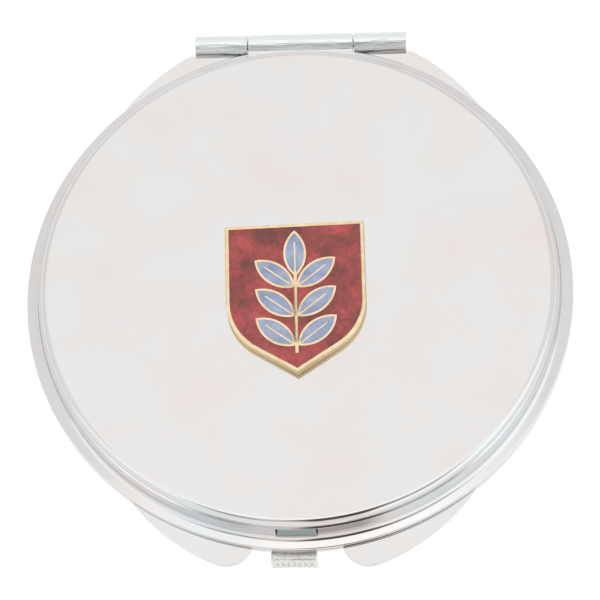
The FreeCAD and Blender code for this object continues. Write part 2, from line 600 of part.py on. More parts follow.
blue_enamel = new_body("badge_blue_enamel")
blue_enamel.AllowCompound = True
blue_enamel.setExpression("Placement", "badge_red_enamel.Placement")
pad(draw_leaves(new_sketch(blue_enamel, "leaf_fill", "XY_Plane"), "wire_width"), "enamel_depth")
pocket(draw_midribs(new_sketch(blue_enamel, "midribs", "XY_Plane")), "enamel_depth", reverse=True)

badge_gilt = doc.addObject("Part::Cut", "badge_gilt")
badge_gilt.Base = badge_blank
badge_gilt.Tool = red_enamel
badge_plate = doc.addObject("Part::Cut", "badge_plate")
badge_plate.Base = badge_gilt
badge_plate.Tool = blue_enamel
doc.recompute()

# Check every object, then write one file per piece
PIECES = [
    base_shell, base_frame, base_mirror, base_mirror_pad, hinge_pin,
    catch_housing, catch_spring, catch_slide,
    lid_shell, lid_frame, lid_mirror, lid_mirror_pad,
    badge_bond, badge_plate, red_enamel, blue_enamel,
]
for item in doc.Objects:
    if "Invalid" in item.State or "Error" in item.State:
        raise RuntimeError(f"{item.Name} failed: {item.State}")
for piece in PIECES:
    if piece.Shape.isNull() or not piece.Shape.isValid():
        raise RuntimeError(f"{piece.Label} has no valid shape")
os.makedirs("parts", exist_ok=True)
for piece in PIECES:
    piece.Shape.exportStep(f"parts/{piece.Label}.step")
    print(f"{piece.Label}: {len(piece.Shape.Solids)} solids, {piece.Shape.Volume:.2f} mm3")
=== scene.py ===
import math

import bmesh
import bpy
from mathutils import Matrix, Vector


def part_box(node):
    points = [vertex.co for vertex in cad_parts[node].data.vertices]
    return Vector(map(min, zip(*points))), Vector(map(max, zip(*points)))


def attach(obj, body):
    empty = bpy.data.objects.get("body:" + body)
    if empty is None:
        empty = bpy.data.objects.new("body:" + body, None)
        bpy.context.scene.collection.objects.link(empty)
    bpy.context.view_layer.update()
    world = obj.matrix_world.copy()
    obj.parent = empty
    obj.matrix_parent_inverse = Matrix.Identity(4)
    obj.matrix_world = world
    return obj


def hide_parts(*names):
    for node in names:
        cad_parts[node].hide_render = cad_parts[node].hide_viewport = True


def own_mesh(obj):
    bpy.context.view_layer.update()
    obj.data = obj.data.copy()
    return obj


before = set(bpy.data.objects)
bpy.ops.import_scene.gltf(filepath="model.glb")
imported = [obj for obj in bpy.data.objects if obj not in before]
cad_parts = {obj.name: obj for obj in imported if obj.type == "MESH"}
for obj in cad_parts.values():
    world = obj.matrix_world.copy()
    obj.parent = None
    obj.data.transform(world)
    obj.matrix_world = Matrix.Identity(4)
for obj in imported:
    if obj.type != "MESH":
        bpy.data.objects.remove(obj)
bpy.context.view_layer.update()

# Base dish: the lower half of the case, a round pan pressed from thin steel and chrome plated.
# Its flange carries the base frame, and a slot in the front of its wall lets the push tab out.
MM = 0.001
SHEET = 0.5 * MM
RIM_WIDTH = 1.5 * MM
WALL_LEAN = 0.28 * MM
STEP_LEAN = 0.06 * MM
STEP_DROP = 0.8 * MM
STEP_ROUND = 0.85 * MM
LEDGE_WIDTH = 0.28 * MM
LEDGE_DROP = 0.125 * MM
LEDGE_ROUND = 0.08 * MM
LEDGE_EDGE = 0.02 * MM
PRESSED_ROUND = 0.3 * MM
BASE_FLANGE = 0.6 * MM
SLOT_PLAY = 0.2 * MM
SLOT_RISE = 0.3 * MM
WELD = 0.0005 * MM
SHARP_ANGLE = math.radians(35)
ARC_STEP = math.radians(5)
ROUND_LEAD = 1.15
TURN_STEPS = 320
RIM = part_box("lid_shell")[1].x
WALL_FOOT = RIM - RIM_WIDTH
WALL_TOP = WALL_FOOT - WALL_LEAN
STEP_FOOT = WALL_TOP - LEDGE_WIDTH
FLAT = STEP_FOOT - STEP_LEAN
WALL_DROP = STEP_DROP + LEDGE_DROP
BASE_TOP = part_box("base_shell")[1].z


def linear(code):
    """Linear red, green, blue and alpha of a hex sRGB colour."""
    parts = [int(code[i:i + 2], 16) / 255 for i in (1, 3, 5)]
    return [c / 12.92 if c <= 0.04045 else ((c + 0.055) / 1.055) ** 2.4 for c in parts] + [1.0]


def add(tree, kind, inputs=None, stops=(), **settings):
    """Add a node, with settings for itself, values or links for its inputs and, if it has a colour ramp,
    that ramp's stops in order as (position, hex colour)."""
    node = tree.nodes.new(kind)
    for name, setting in settings.items():
        setattr(node, name, setting)
    for name, source in (inputs or {}).items():
        if isinstance(source, bpy.types.NodeSocket):
            tree.links.new(source, node.inputs[name])
        else:
            node.inputs[name].default_value = source
    if stops:
        ends = list(node.color_ramp.elements)
        for element, (position, code) in zip(ends, (stops[0], stops[-1])):
            element.position, element.color = position, linear(code)
        for position, code in stops[1:-1]:
            node.color_ramp.elements.new(position).color = linear(code)
    return node


def new_material(name):
    """Empty material with a Principled shader; returns the material, its tree and the shader."""
    material = bpy.data.materials.new(name)
    material.use_nodes = True
    return material, material.node_tree, material.node_tree.nodes["Principled BSDF"]


def chrome_plating():
    """Chromium over buffed pressed steel: a near mirror with finger smears, faint warm blotches, polishing
    haze and the slow waviness that pressing leaves in thin sheet.  The rolled knuckles at the back are
    paler and duller, with lengthwise marks that are drawn coarser than real ones so that they show."""
    material, tree, shader = new_material("chrome_plated_steel")
    smear_size, haze_size, wave_size = 9 * MM, 2.2 * MM, 11 * MM
    mark_length, mark_width = 5 * MM, 0.16 * MM
    wave_height, mark_depth = 0.012 * MM, 0.06 * MM
    pressed_until, rolled_from = RIM - 0.8 * MM, RIM - 0.5 * MM
    place = add(tree, "ShaderNodeTexCoord").outputs["Object"]
    smears = add(tree, "ShaderNodeTexNoise", {"Vector": place, "Scale": 1 / smear_size, "Detail": 3.0})
    tint = add(tree, "ShaderNodeValToRGB", {"Fac": smears.outputs["Fac"]},
               [(0.42, "#DDDEDE"), (0.72, "#DFD9D7")])
    haze = add(tree, "ShaderNodeTexNoise", {"Vector": place, "Scale": 1 / haze_size, "Detail": 4.0})
    rough = add(tree, "ShaderNodeMapRange", {"Value": haze.outputs["Fac"], "From Min": 0.35,
                                             "From Max": 0.75, "To Min": 0.025, "To Max": 0.075})
    depth = add(tree, "ShaderNodeSeparateXYZ", {"Vector": place}).outputs["Y"]
    rolled = add(tree, "ShaderNodeMapRange", {"Value": depth, "From Min": pressed_until,
                                              "From Max": rolled_from}).outputs["Result"]
    dull = add(tree, "ShaderNodeMath", {0: rolled, 1: 0.15, 2: rough.outputs["Result"]},
               operation="MULTIPLY_ADD")
    paler = add(tree, "ShaderNodeMix", {"Factor": rolled, "A": tint.outputs["Color"],
                                        "B": linear("#E9EDEE")}, data_type="RGBA")
    wave = add(tree, "ShaderNodeTexNoise", {"Vector": place, "Scale": 1 / wave_size, "Detail": 1.0})
    wavy = add(tree, "ShaderNodeBump", {"Height": wave.outputs["Fac"], "Strength": 1.0,
                                        "Distance": wave_height})
    fineness = (1 / mark_length, 1 / mark_width, 1 / mark_width)
    along = add(tree, "ShaderNodeVectorMath", {0: place, 1: fineness}, operation="MULTIPLY")
    marks = add(tree, "ShaderNodeTexNoise", {"Vector": along.outputs["Vector"], "Scale": 1.0,
                                             "Detail": 2.0})
    bump = add(tree, "ShaderNodeBump", {"Height": marks.outputs["Fac"], "Strength": rolled,
                                        "Distance": mark_depth, "Normal": wavy.outputs["Normal"]})
    tree.links.new(paler.outputs["Result"], shader.inputs["Base Color"])
    tree.links.new(dull.outputs[0], shader.inputs["Roughness"])
    tree.links.new(bump.outputs["Normal"], shader.inputs["Normal"])
    shader.inputs["Metallic"].default_value = 1.0
    return material


def arc(centre, radius, start, stop):
    """Points of an arc in a profile, from one angle in degrees to another."""
    span = math.radians(stop - start)
    count = max(2, round(abs(span) / ARC_STEP))
    turns = [math.radians(start) + span * i / count for i in range(count + 1)]
    return [(centre[0] + radius * math.cos(a), centre[1] + radius * math.sin(a)) for a in turns]


def rounded(corners):
    """Profile through corners (radius, height) or (radius, height, rounding), with a close extra point on
    the straight at both ends of each rounding to keep the straights true."""
    points = []
    for before, corner, after in zip(corners[-1:] + corners[:-1], corners, corners[1:] + corners[:1]):
        here = Vector(corner[:2])
        if len(corner) == 2:
            points.append(tuple(here))
            continue
        back = (Vector(before[:2]) - here).normalized()
        ahead = (Vector(after[:2]) - here).normalized()
        half = back.angle(ahead) / 2
        reach = corner[2] / math.tan(half)
        centre = here + (back + ahead).normalized() * corner[2] / math.sin(half)
        start = here + back * reach - centre
        turn = math.degrees(start.angle_signed(here + ahead * reach - centre))
        first = math.degrees(math.atan2(start.y, start.x))
        points.append(tuple(here + back * reach * ROUND_LEAD))
        points += arc(centre, corner[2], first, first - turn)
        points.append(tuple(here + ahead * reach * ROUND_LEAD))
    return points


def turning_tree():
    """Geometry Nodes tree that turns a profile, drawn in the XZ plane, once round the Z axis."""
    tree = bpy.data.node_groups.new("turned_on_axis", "GeometryNodeTree")
    tree.interface.new_socket("Geometry", in_out="INPUT", socket_type="NodeSocketGeometry")
    tree.interface.new_socket("Steps", in_out="INPUT", socket_type="NodeSocketInt")
    tree.interface.new_socket("Material", in_out="INPUT", socket_type="NodeSocketMaterial")
    tree.interface.new_socket("Geometry", in_out="OUTPUT", socket_type="NodeSocketGeometry")
    given = add(tree, "NodeGroupInput")
    steps = given.outputs["Steps"]
    count = add(tree, "GeometryNodeAttributeDomainSize", {"Geometry": given.outputs["Geometry"]})
    grid = add(tree, "GeometryNodeMeshGrid", {"Vertices X": count.outputs["Point Count"],
                                              "Vertices Y": steps})
    index = add(tree, "GeometryNodeInputIndex").outputs["Index"]
    row = add(tree, "FunctionNodeIntegerMath", {0: index, 1: steps}, operation="DIVIDE_FLOOR")
    column = add(tree, "FunctionNodeIntegerMath", {0: index, 1: steps}, operation="FLOORED_MODULO")
    last = add(tree, "FunctionNodeIntegerMath", {0: steps, 1: 1}, operation="SUBTRACT")
    share = add(tree, "ShaderNodeMath", {0: column.outputs[0], 1: last.outputs[0]}, operation="DIVIDE")
    angle = add(tree, "ShaderNodeMath", {0: share.outputs[0], 1: math.tau}, operation="MULTIPLY")
    drawn = add(tree, "GeometryNodeSampleIndex", {"Geometry": given.outputs["Geometry"],
                                                  "Index": row.outputs[0]}, data_type="FLOAT_VECTOR")
    tree.links.new(add(tree, "GeometryNodeInputPosition").outputs["Position"], drawn.inputs["Value"])
    swung = add(tree, "ShaderNodeVectorRotate", {"Vector": drawn.outputs["Value"],
                                                 "Angle": angle.outputs[0]}, rotation_type="Z_AXIS")
    placed = add(tree, "GeometryNodeSetPosition", {"Geometry": grid.outputs["Mesh"],
                                                   "Position": swung.outputs["Vector"]})
    closed = add(tree, "GeometryNodeMergeByDistance", {"Geometry": placed.outputs["Geometry"],
                                                       "Distance": WELD})
    real = add(tree, "GeometryNodeRealizeInstances", {"Geometry": closed.outputs["Geometry"]})
    coated = add(tree, "GeometryNodeSetMaterial", {"Geometry": real.outputs["Geometry"],
                                                   "Material": given.outputs["Material"]})
    add(tree, "NodeGroupOutput", {"Geometry": coated.outputs["Geometry"]})
    return tree


def plain_mesh(piece):
    """Replace a piece's mesh by what its modifiers make of it, and drop them."""
    evaluated = piece.evaluated_get(bpy.context.evaluated_depsgraph_get())
    mesh = bpy.data.meshes.new_from_object(evaluated)
    piece.modifiers.clear()
    piece.data = mesh


def soften(piece):
    """Merge doubles, point all faces outwards and shade them smooth, with sharp corners kept sharp."""
    shape = bmesh.new()
    shape.from_mesh(piece.data)
    bmesh.ops.remove_doubles(shape, verts=shape.verts, dist=WELD)
    bmesh.ops.recalc_face_normals(shape, faces=shape.faces)
    shape.to_mesh(piece.data)
    shape.free()
    piece.data.shade_smooth()
    piece.data.set_sharp_from_angle(angle=SHARP_ANGLE)


def new_piece(name, mesh):
    """Object for a mesh, at the origin and in the scene."""
    piece = bpy.data.objects.new(name, mesh)
    bpy.context.scene.collection.objects.link(piece)
    return piece


def piece_from(name, shape):
    """Object for a finished bmesh shape, which is freed."""
    mesh = bpy.data.meshes.new(name)
    shape.to_mesh(mesh)
    shape.free()
    return new_piece(name, mesh)


def turned(name, profile, material, steps=TURN_STEPS):
    """Piece turned round the case's axis from a closed profile of (radius, height) points."""
    mesh = bpy.data.meshes.new(name)
    points = [(radius, 0, height) for radius, height in profile]
    mesh.from_pydata(points + points[:1], [], [])
    piece = new_piece(name, mesh)
    turning = piece.modifiers.new("turning", "NODES")
    turning.node_group = bpy.data.node_groups.get("turned_on_axis") or turning_tree()
    sockets = {item.name: item.identifier for item in turning.node_group.interface.items_tree
               if item.in_out == "INPUT"}
    turning[sockets["Steps"]] = steps + 1
    turning[sockets["Material"]] = material
    plain_mesh(piece)
    soften(piece)
    return piece


def block(low, high):
    """Loose box between two corners, to cut with."""
    shape = bmesh.new()
    middle, size = (Vector(low) + Vector(high)) / 2, Vector(high) - Vector(low)
    bmesh.ops.create_cube(shape, size=1, matrix=Matrix.Translation(middle) @ Matrix.Diagonal((*size, 1)))
    return piece_from("block", shape)


def cut(piece, *cutters):
    """Cut loose shapes out of a piece, and remove them."""
    for cutter in cutters:
        boolean = piece.modifiers.new("cut", "BOOLEAN")
        boolean.object = cutter
        boolean.solver = "EXACT"
    plain_mesh(piece)
    for cutter in cutters:
        bpy.data.objects.remove(cutter)
    soften(piece)


CHROME = chrome_plating()
base_dish = turned("base_dish", rounded([
    (0, 0),
    (FLAT, 0, STEP_ROUND),
    (STEP_FOOT, STEP_DROP, LEDGE_ROUND),
    (WALL_TOP, WALL_DROP, LEDGE_EDGE),
    (WALL_FOOT, BASE_TOP - SHEET, PRESSED_ROUND),
    (WALL_FOOT + BASE_FLANGE, BASE_TOP - SHEET),
    (WALL_FOOT + BASE_FLANGE, BASE_TOP),
    (WALL_FOOT - SHEET, BASE_TOP),
    (WALL_TOP - SHEET / 2, WALL_DROP + SHEET / 2),
    (FLAT - SHEET, SHEET),
    (0, SHEET),
]), CHROME)
tab_low, tab_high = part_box("catch_slide")
slot_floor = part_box("catch_housing")[0].z + SLOT_RISE
cut(base_dish, block((tab_low.x - SLOT_PLAY, -RIM, slot_floor),
                     (tab_high.x + SLOT_PLAY, 0, BASE_TOP + SHEET)))
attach(base_dish, "base")
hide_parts("base_shell")

# Catch housing: a small tray pressed from steel strip and welded under the base frame.  It guides the
# push tab and backs the tab's spring.
def bright_steel():
    """Rolled spring steel: greyish, with lines along the strip that blur what it reflects, drawn coarser
    than real ones so that they show."""
    material, tree, shader = new_material("rolled_spring_steel")
    line_width, line_length = 0.06 * MM, 2.5 * MM
    fineness = (1 / line_length, 1 / line_width, 1 / line_width)
    place = add(tree, "ShaderNodeTexCoord").outputs["Object"]
    drawn = add(tree, "ShaderNodeMapping", {"Vector": place, "Scale": fineness})
    lines = add(tree, "ShaderNodeTexNoise", {"Vector": drawn.outputs["Vector"], "Scale": 1.0,
                                             "Detail": 2.0})
    tone = add(tree, "ShaderNodeValToRGB", {"Fac": lines.outputs["Fac"]}, [(0, "#A9A8A6"), (1, "#D2D0CC")])
    rough = add(tree, "ShaderNodeMapRange", {"Value": lines.outputs["Fac"], "To Min": 0.18, "To Max": 0.36})
    tree.links.new(tone.outputs["Color"], shader.inputs["Base Color"])
    tree.links.new(rough.outputs["Result"], shader.inputs["Roughness"])
    shader.inputs["Metallic"].default_value = 1.0
    return material


def coat(piece, material):
    """Give a piece one material, in place of any that it has."""
    piece.data.materials.clear()
    piece.data.materials.append(material)


STEEL = bright_steel()
coat(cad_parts["catch_housing"], STEEL)

# Bow spring: a narrow strip of rolled spring steel, bent to a bow.  It stands on edge between the
# housing's back wall and the push tab, and keeps the tab out.
SPRING_SHEET = 0.2 * MM
SPRING_STEPS = 40
spring_low, spring_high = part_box("catch_spring")
spring_middle, half_span = (spring_low.x + spring_high.x) / 2, (spring_high.x - spring_low.x) / 2
rise = spring_high.y - spring_low.y - SPRING_SHEET
bow_radius = (half_span ** 2 + rise ** 2) / (2 * rise)
strip_section = ((0, spring_low.z), (0, spring_high.z),
                 (SPRING_SHEET, spring_high.z), (SPRING_SHEET, spring_low.z))
strip = bmesh.new()
rings = []
for i in range(SPRING_STEPS + 1):
    x = half_span * (2 * i / SPRING_STEPS - 1)
    y = spring_high.y + bow_radius - rise - math.sqrt(bow_radius ** 2 - x ** 2)
    rings.append([strip.verts.new((spring_middle + x, y - back, z)) for back, z in strip_section])
for ring, following in zip(rings, rings[1:]):
    for k in range(len(strip_section)):
        strip.faces.new((ring[k], ring[k - 1], following[k - 1], following[k]))
strip.faces.new(rings[0])
strip.faces.new(rings[-1])
catch_bow = piece_from("catch_bow", strip)
coat(catch_bow, STEEL)
soften(catch_bow)
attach(catch_bow, "base")
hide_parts("catch_spring")
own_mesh(catch_bow)

# Push tab: plated sheet with a lip turned down over the case's edge and ribbed for the thumb, and a
# hooked nib behind it that rises through the base frame into the lid's window.
SHEARED_EDGE = 0.08 * MM
EASED_ANGLE = math.radians(40)
FLAT_ANGLE = math.radians(1)
NIB_START, NIB_FULL = BASE_TOP + 1.2 * MM, BASE_TOP + 1.6 * MM


def cad_copy(name, node, material):
    """Piece with a copy of a CAD node's mesh, in a material of its own."""
    piece = new_piece(name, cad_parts[node].data.copy())
    coat(piece, material)
    return piece


def whole_faces(piece):
    """Shape of a CAD copy with its loose triangles joined into whole faces."""
    shape = bmesh.new()
    shape.from_mesh(piece.data)
    bmesh.ops.remove_doubles(shape, verts=shape.verts, dist=WELD)
    bmesh.ops.dissolve_limit(shape, angle_limit=FLAT_ANGLE, verts=shape.verts, edges=shape.edges)
    return shape


def sheared(name, node, edge_round, material):
    """Piece from a CAD node of sheared sheet, its sharp edges eased; normals weighted by area keep its
    flats flat."""
    piece = cad_copy(name, node, material)
    shape = whole_faces(piece)
    shape.to_mesh(piece.data)
    shape.free()
    easing = piece.modifiers.new("easing", "BEVEL")
    easing.limit_method = "ANGLE"
    easing.angle_limit = EASED_ANGLE
    easing.width = edge_round
    easing.segments = 2
    plain_mesh(piece)
    soften(piece)
    flattening = piece.modifiers.new("flattening", "WEIGHTED_NORMAL")
    flattening.keep_sharp = True
    plain_mesh(piece)
    return piece


def dull_nickel():
    """Barrel-plated nickel: a soft warm-grey sheen with fine specks of wear, and painted shade on the nib,
    which is darker and greener where it rises into the lid's window.
    """
    material, tree, shader = new_material("dull_nickel_plate")
    speck_size = 0.3 * MM
    place = add(tree, "ShaderNodeTexCoord").outputs["Object"]
    specks = add(tree, "ShaderNodeTexNoise", {"Vector": place, "Scale": 1 / speck_size, "Detail": 3.0})
    tone = add(tree, "ShaderNodeValToRGB", {"Fac": specks.outputs["Fac"]},
               [(0.3, "#C6C6C0"), (0.6, "#EBEAE5")])
    level = add(tree, "ShaderNodeSeparateXYZ", {"Vector": place}).outputs["Z"]
    # Painted shade: above the base frame the nib's colour is blended to a dark greenish grey, for the shade
    # in the lid's window.
    nib_painted_shade = add(tree, "ShaderNodeMapRange", {"Value": level, "From Min": NIB_START, "From Max": NIB_FULL})
    metal = add(tree, "ShaderNodeMix", {"Factor": nib_painted_shade.outputs["Result"], "A": tone.outputs["Color"],
                                        "B": linear("#959E9B")}, data_type="RGBA")
    rough = add(tree, "ShaderNodeMapRange", {"Value": specks.outputs["Fac"], "To Min": 0.4, "To Max": 0.26})
    tree.links.new(metal.outputs["Result"], shader.inputs["Base Color"])
    tree.links.new(rough.outputs["Result"], shader.inputs["Roughness"])
    shader.inputs["Metallic"].default_value = 1.0
    return material


push_tab = sheared("push_tab", "catch_slide", SHEARED_EDGE / 2, dull_nickel())
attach(push_tab, "catch")
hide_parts("catch_slide")

# Base foam: a disc of white foam tape, sticky on both faces, that beds the magnifying mirror in the base
# dish and fills the space under its bowl.
BASE_GLASS = 1.3 * MM
MIRROR_CURVE = 600 * MM
BOWL_STEPS = 24
FOAM_BULGE = 0.15 * MM
mirror_edge, mirror_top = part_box("base_mirror")[1].x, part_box("base_mirror")[1].z
foam_edge, foam_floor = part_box("base_mirror_pad")[1].x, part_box("base_mirror_pad")[0].z


def white_foam():
    """Closed-cell foam tape: dull off-white with fine pits."""
    material, tree, shader = new_material("white_foam_tape")
    cell_size, pit_depth = 0.15 * MM, 0.03 * MM
    place = add(tree, "ShaderNodeTexCoord").outputs["Object"]
    cells = add(tree, "ShaderNodeTexVoronoi", {"Vector": place, "Scale": 1 / cell_size})
    tone = add(tree, "ShaderNodeValToRGB", {"Fac": cells.outputs["Distance"]},
               [(0, "#C9C6BE"), (1, "#EFEDE6")])
    bump = add(tree, "ShaderNodeBump", {"Height": cells.outputs["Distance"], "Strength": 0.5,
                                        "Distance": pit_depth})
    tree.links.new(tone.outputs["Color"], shader.inputs["Base Color"])
    tree.links.new(bump.outputs["Normal"], shader.inputs["Normal"])
    shader.inputs["Roughness"].default_value = 0.85
    return material


def bowl(radius):
    """Height of the magnifying mirror's face at a distance from the axis."""
    edge_height = math.sqrt(MIRROR_CURVE ** 2 - mirror_edge ** 2)
    return mirror_top + edge_height - math.sqrt(MIRROR_CURVE ** 2 - radius ** 2)


def radii(edge):
    """Distances from the axis, in even steps out to an edge."""
    return [edge * i / BOWL_STEPS for i in range(BOWL_STEPS + 1)]


FOAM = white_foam()
foam_inset = foam_edge - FOAM_BULGE
foam_top = [(r, bowl(r) - BASE_GLASS) for r in radii(foam_inset)]
foam_mid = (foam_floor + foam_top[-1][1]) / 2
foam_side = [(foam_edge, foam_mid), (foam_inset, foam_floor), (0, foam_floor)]
base_foam = turned("base_foam", foam_top + foam_side, FOAM)
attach(base_foam, "base")
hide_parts("base_mirror_pad")

# Magnifying mirror: silvered glass bent to a shallow bowl, with a ground edge, stuck to the base foam.
# The base frame's edge holds it down all round.
GLASS_BEVEL = 0.2 * MM


def mirror_glass():
    """Silvered glass: a clear mirror with a little dust haze, greenish where the glass shows its edge."""
    material, tree, shader = new_material("silvered_glass")
    dust_size = 1.5 * MM
    place = add(tree, "ShaderNodeTexCoord").outputs["Object"]
    dust = add(tree, "ShaderNodeTexNoise", {"Vector": place, "Scale": 1 / dust_size, "Detail": 4.0})
    rough = add(tree, "ShaderNodeMapRange", {"Value": dust.outputs["Fac"], "From Min": 0.4, "From Max": 0.8,
                                             "To Min": 0.01, "To Max": 0.06})
    normal = add(tree, "ShaderNodeNewGeometry").outputs["Normal"]
    facing = add(tree, "ShaderNodeSeparateXYZ", {"Vector": normal})
    flatness = add(tree, "ShaderNodeMath", {0: facing.outputs["Z"]}, operation="ABSOLUTE")
    tone = add(tree, "ShaderNodeValToRGB", {"Fac": flatness.outputs[0]},
               [(0.55, "#8FB5A6"), (0.95, "#F1F4F3")])
    tree.links.new(tone.outputs["Color"], shader.inputs["Base Color"])
    tree.links.new(rough.outputs["Result"], shader.inputs["Roughness"])
    shader.inputs["Metallic"].default_value = 1.0
    return material


MIRROR = mirror_glass()
face = [(r, bowl(r)) for r in radii(mirror_edge - GLASS_BEVEL)]
back = [(r, bowl(r) - BASE_GLASS) for r in reversed(radii(mirror_edge))]
base_glass = turned("base_glass", face + [(mirror_edge, mirror_top - GLASS_BEVEL)] + back, MIRROR)
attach(base_glass, "base")
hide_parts("base_mirror")

# Base frame: plated plate on the base dish, cut with two petals and a thumb notch at the front and two
# wings at the back, where its tongues are rolled into the outer hinge knuckles.
base_plate = sheared("base_plate", "base_frame", SHEARED_EDGE, CHROME)
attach(base_plate, "base")
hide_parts("base_frame")

# Hinge pin: hard steel wire cut to length, its ends slightly domed.  It is driven through the three
# knuckles and held by the outer two.
PIN_DOME = 0.12 * MM
PIN_STEPS = 32
pin_low, pin_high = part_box("hinge_pin")
pin_radius, pin_half = (pin_high.z - pin_low.z) / 2, pin_high.x
hinge = (pin_low + pin_high) / 2
on_hinge = Matrix.Translation(hinge) @ Matrix.Rotation(math.pi / 2, 4, "Y")
pin = turned("pin", rounded([
    (0, -pin_half),
    (pin_radius, -pin_half, PIN_DOME),
    (pin_radius, pin_half, PIN_DOME),
    (0, pin_half),
]), STEEL, PIN_STEPS)
pin.data.transform(on_hinge)
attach(pin, "base")
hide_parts("hinge_pin")

# Lid: cup pressed from the same sheet and plated, with a flat top, a step, a narrow ledge, a wall and a
# nearly flat rim.  A window in front takes the nib, and the back makes room for the hinge.
RIM_HEIGHT = 0.75 * MM
RIM_FALL = 0.25 * MM
RIM_ROUND = 0.2 * MM
COVE_ROUND = 0.75 * MM
WINDOW_HALF = 2.65 * MM
LEAF_HALF = 7.05 * MM
LEAF_ROOM = 0.9 * MM
SWING_CLEARANCE = 0.2 * MM
BARREL_HALF = 14.1 * MM
BARREL_STEPS = 64
lid_low, lid_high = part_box("lid_shell")
LID_TOP, LID_LEVEL = lid_high.z, lid_low.z
WINDOW_LOW, WINDOW_HIGH = LID_LEVEL + 0.95 * MM, LID_LEVEL + 2.92 * MM
lid_cup = turned("lid_cup", rounded([
    (0, LID_TOP),
    (FLAT, LID_TOP, STEP_ROUND),
    (STEP_FOOT, LID_TOP - STEP_DROP, LEDGE_ROUND),
    (WALL_TOP, LID_TOP - WALL_DROP, LEDGE_EDGE),
    (WALL_FOOT, LID_LEVEL + RIM_HEIGHT, COVE_ROUND),
    (RIM, LID_LEVEL + RIM_HEIGHT - RIM_FALL, RIM_ROUND),
    (RIM, LID_LEVEL, PRESSED_ROUND / 2),
    (WALL_FOOT - SHEET, LID_LEVEL),
    (WALL_TOP - SHEET / 2, LID_TOP - WALL_DROP - SHEET / 2),
    (FLAT - SHEET, LID_TOP - SHEET),
    (0, LID_TOP - SHEET),
]), CHROME)
barrel_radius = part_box("base_frame")[1].y - hinge.y + SWING_CLEARANCE
barrel_room = bmesh.new()
bmesh.ops.create_cone(barrel_room, cap_ends=True, segments=BARREL_STEPS, radius1=barrel_radius,
                      radius2=barrel_radius, depth=2 * BARREL_HALF, matrix=on_hinge)
cut(lid_cup,
    block((-WINDOW_HALF, -2 * RIM, WINDOW_LOW), (WINDOW_HALF, 0, WINDOW_HIGH)),
    block((-LEAF_HALF, 0, LID_LEVEL - LEAF_ROOM), (LEAF_HALF, 2 * RIM, LID_LEVEL + LEAF_ROOM)),
    piece_from("barrel_room", barrel_room))
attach(lid_cup, "lid")
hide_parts("lid_shell")

# Lid foam: a flat disc of the same foam tape, stuck under the lid's top to carry the plain mirror.  Its
# soft edge bulges a little.
tape_low, tape_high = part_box("lid_mirror_pad")
lid_foam = turned("lid_foam", [
    (0, tape_low.z),
    (tape_high.x - FOAM_BULGE, tape_low.z),
    (tape_high.x, (tape_low.z + tape_high.z) / 2),
    (tape_high.x - FOAM_BULGE, tape_high.z),
    (0, tape_high.z),
], FOAM)
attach(lid_foam, "lid")
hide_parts("lid_mirror_pad")

# Plain mirror: a flat disc of silvered glass with a ground edge, stuck to the lid foam.  The lid frame
# holds it all round.
GROUND_BAND = 4 * GLASS_BEVEL
glass_low, glass_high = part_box("lid_mirror")
lid_glass = turned("lid_glass", [
    (0, glass_low.z),
    (glass_high.x - GROUND_BAND, glass_low.z),
    (glass_high.x - GLASS_BEVEL, glass_low.z),
    (glass_high.x, glass_low.z + GLASS_BEVEL),
    (glass_high.x, glass_high.z),
    (0, glass_high.z),
], MIRROR)
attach(lid_glass, "lid")
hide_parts("lid_mirror")

# Lid frame: plated ring pressed into the lid to hold the plain mirror, with a leaf at the back whose end
# is rolled into the hinge's centre knuckle.
lid_ring = sheared("lid_ring", "lid_frame", SHEARED_EDGE, CHROME)
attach(lid_ring, "lid")
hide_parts("lid_frame")

# Badge film: a thin clear sheet of adhesive, pressed between the badge and the lid's flat, that holds the
# badge in its place.
def clear_film():
    """Adhesive film: glossy, slightly yellow, with small trapped bubbles."""
    material, tree, shader = new_material("clear_adhesive_film")
    bubble_size = 0.5 * MM
    place = add(tree, "ShaderNodeTexCoord").outputs["Object"]
    bubbles = add(tree, "ShaderNodeTexVoronoi", {"Vector": place, "Scale": 1 / bubble_size})
    tone = add(tree, "ShaderNodeValToRGB", {"Fac": bubbles.outputs["Distance"]},
               [(0, "#C8BFA6"), (1, "#DDD6C4")])
    tree.links.new(tone.outputs["Color"], shader.inputs["Base Color"])
    shader.inputs["Roughness"].default_value = 0.3
    return material


coat(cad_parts["badge_bond"], clear_film())

# Badge: a shield cast in brass and gilt, with a raised border, rounded on its outer edge, and thin wires
# that part its cells.  It is stuck to the lid's flat.
BORDER_ROUND = 0.16 * MM
BORDER_STEPS = 4
SIDE_HIGHLIGHT_DEPTH = 0.4 * MM
UPRIGHT = 0.1
FOOT_HEIGHT = 0.1 * MM
TOP_TOLERANCE = 0.01 * MM
badge_low, badge_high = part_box("badge_plate")


